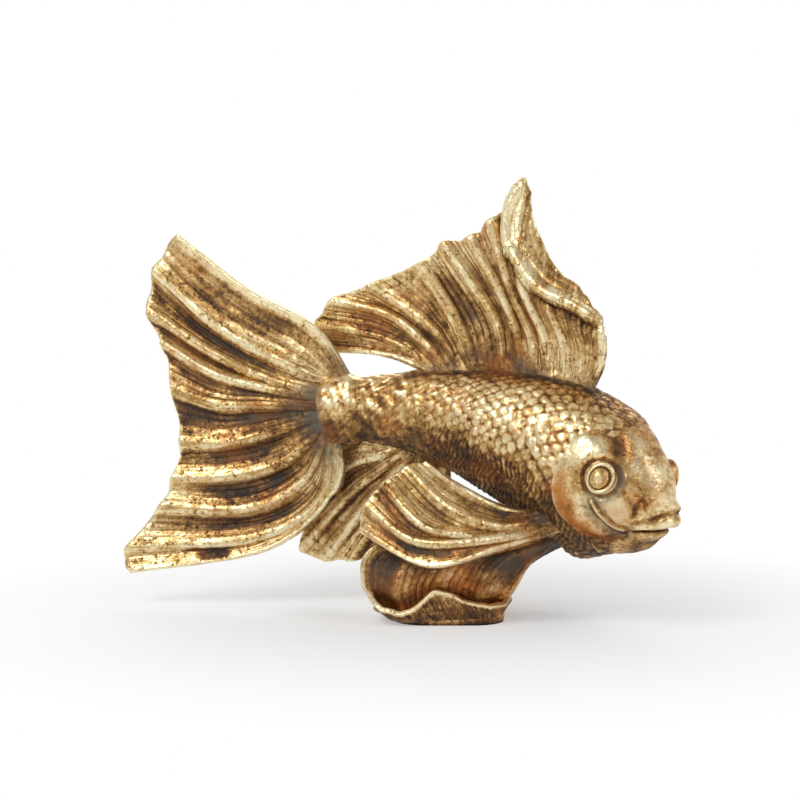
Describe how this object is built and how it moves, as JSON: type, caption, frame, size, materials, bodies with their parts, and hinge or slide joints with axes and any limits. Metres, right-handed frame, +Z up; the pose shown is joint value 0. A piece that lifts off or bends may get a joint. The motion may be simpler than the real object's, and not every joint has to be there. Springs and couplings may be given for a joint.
{
  "type": "fish figurine",
  "caption": "Standing goldfish ornament in worn gilt metal, with a fanned tail, a tall folded dorsal fin and lower fins that run into a flat foot.",
  "frame": {"origin": "middle of the foot's flat underside, on the table", "axes": "+X toward the head, +Y away from the viewer of the picture, +Z up"},
  "size_m": [0.329, 0.1734, 0.2586],
  "materials": {
    "gilt_body": "worn gold leaf over red-brown bole, umber and grey-green in the recesses between scales",
    "gilt_fins": "worn gold leaf on the crests, umber and grey-green in the folds",
    "gilt_eyes": "burnished gilt with a dark groove",
    "gilt_foot": "rubbed gilt with brown streaks",
    "pins": "plain drawn brass"
  },
  "bodies": {
    "root": {"torso": "gilt_body", "head": "gilt_body", "tail_fin": "gilt_fins", "dorsal_fin": "gilt_fins", "anal_fin": "gilt_fins", "right_pectoral_fin": "gilt_fins", "left_pectoral_fin": "gilt_fins", "right_pelvic_fin": "gilt_fins", "left_pelvic_fin": "gilt_fins", "foot": "gilt_foot", "right_eye": "gilt_eyes", "left_eye": "gilt_eyes", "neck_pins": "pins", "tail_pins": "pins", "dorsal_pins": "pins", "anal_pin": "pins", "right_pectoral_pin": "pins", "left_pectoral_pin": "pins", "right_pelvic_pin": "pins", "left_pelvic_pin": "pins", "right_pelvic_dowels": "pins", "left_pelvic_dowels": "pins"}
  },
  "joints": []
}
